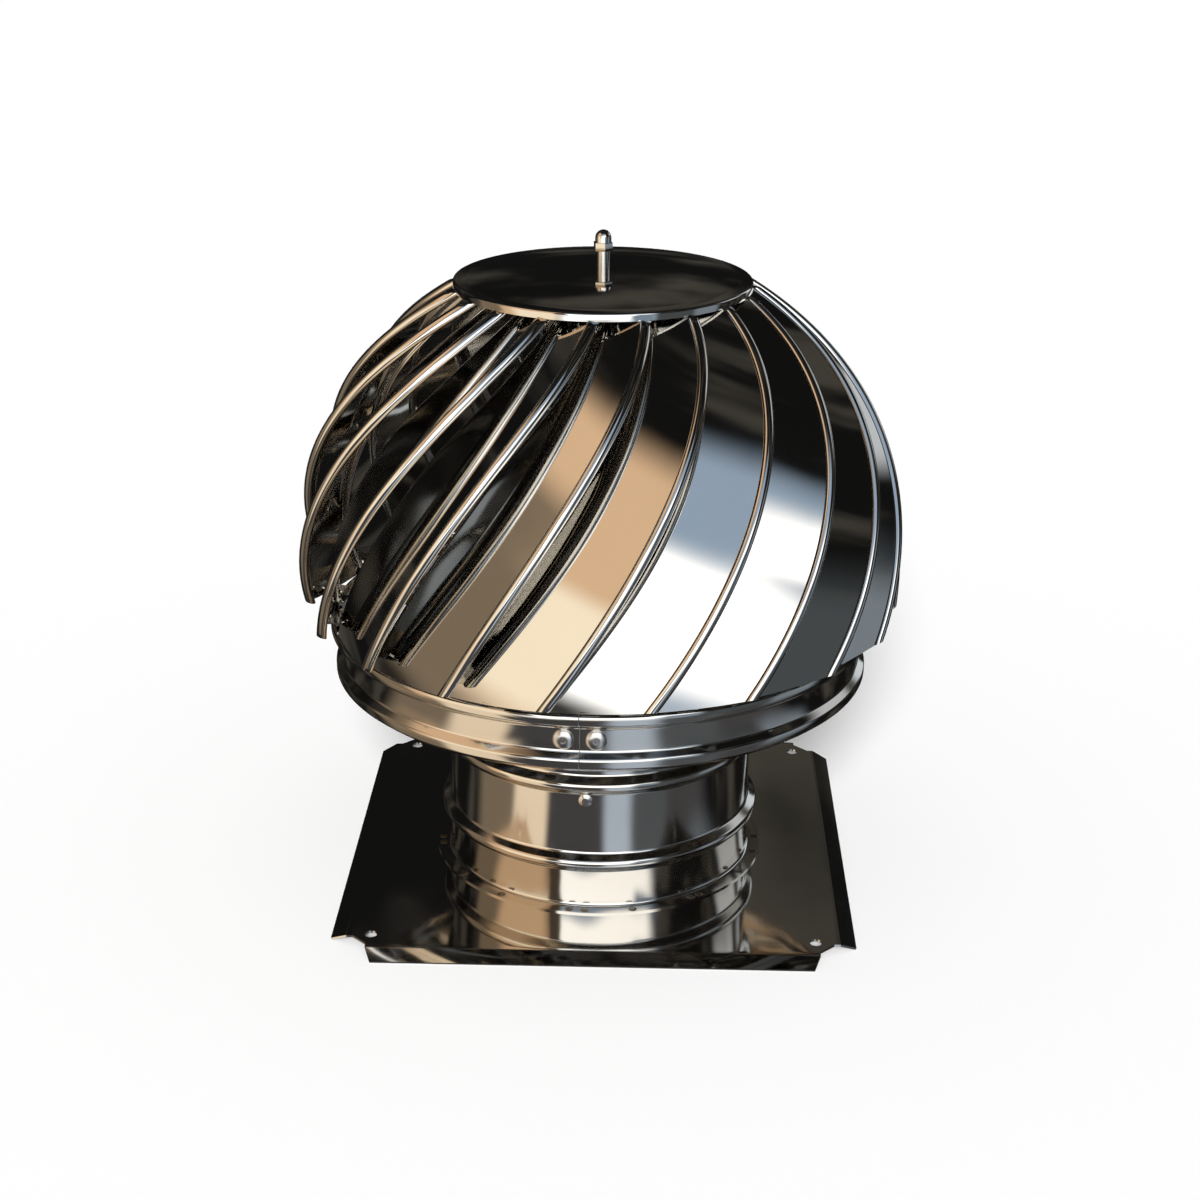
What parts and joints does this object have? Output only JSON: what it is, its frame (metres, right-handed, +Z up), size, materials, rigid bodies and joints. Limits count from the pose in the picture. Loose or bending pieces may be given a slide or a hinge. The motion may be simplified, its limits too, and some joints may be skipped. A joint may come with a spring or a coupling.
{
  "type": "roof turbine ventilator",
  "caption": "Wind-driven roof ventilator: a domed rotor of slanted polished steel blades over a round throat on a square flashing plate.",
  "frame": {"origin": "on the rotor's axis, level with the lower edge of the flashing plate's drip lips", "axes": "+Z up along the rotor's axis; +X and +Y square to the plate's sides, the ring's seam facing -Y"},
  "size_m": [0.2906, 0.2903, 0.3161],
  "materials": {
    "bright_stainless": "bright-annealed stainless sheet, mirror bright",
    "plain_stainless": "plain drawn stainless",
    "zinc_steel": "zinc-plated steel",
    "bearing_steel": "ground bearing steel"
  },
  "bodies": {
    "base": {"base_plate": "bright_stainless", "throat_pipe": "bright_stainless", "bearing_tube": "zinc_steel", "spider_arm_1": "zinc_steel", "spider_arm_2": "zinc_steel", "spider_arm_3": "zinc_steel", "spider_rivets": "plain_stainless", "bearing_outer_rings": "bearing_steel"},
    "rotor": {"bearing_inner_rings": "bearing_steel", "axle": "plain_stainless", "cap_nut": "bright_stainless", "thrust_collar": "zinc_steel", "lower_washer": "zinc_steel", "lock_nut": "zinc_steel", "top_disc": "bright_stainless", "hub_flange": "zinc_steel", "ring_band": "bright_stainless", "ring_splice": "plain_stainless", "ring_rivets": "plain_stainless", "blade_01": "bright_stainless", "blade_02": "bright_stainless", "blade_03": "bright_stainless", "blade_04": "bright_stainless", "blade_05": "bright_stainless", "blade_06": "bright_stainless", "blade_07": "bright_stainless", "blade_08": "bright_stainless", "blade_09": "bright_stainless", "blade_10": "bright_stainless", "blade_11": "bright_stainless", "blade_12": "bright_stainless", "blade_13": "bright_stainless", "blade_14": "bright_stainless", "blade_15": "bright_stainless", "blade_16": "bright_stainless", "blade_17": "bright_stainless", "blade_18": "bright_stainless", "blade_19": "bright_stainless"}
  },
  "joints": [
    {"name": "rotor_spin", "type": "hinge", "parent": "base", "child": "rotor", "pos_m": [0, 0, 0.0804], "axis": [0, 0, 1], "continuous": true}
  ]
}
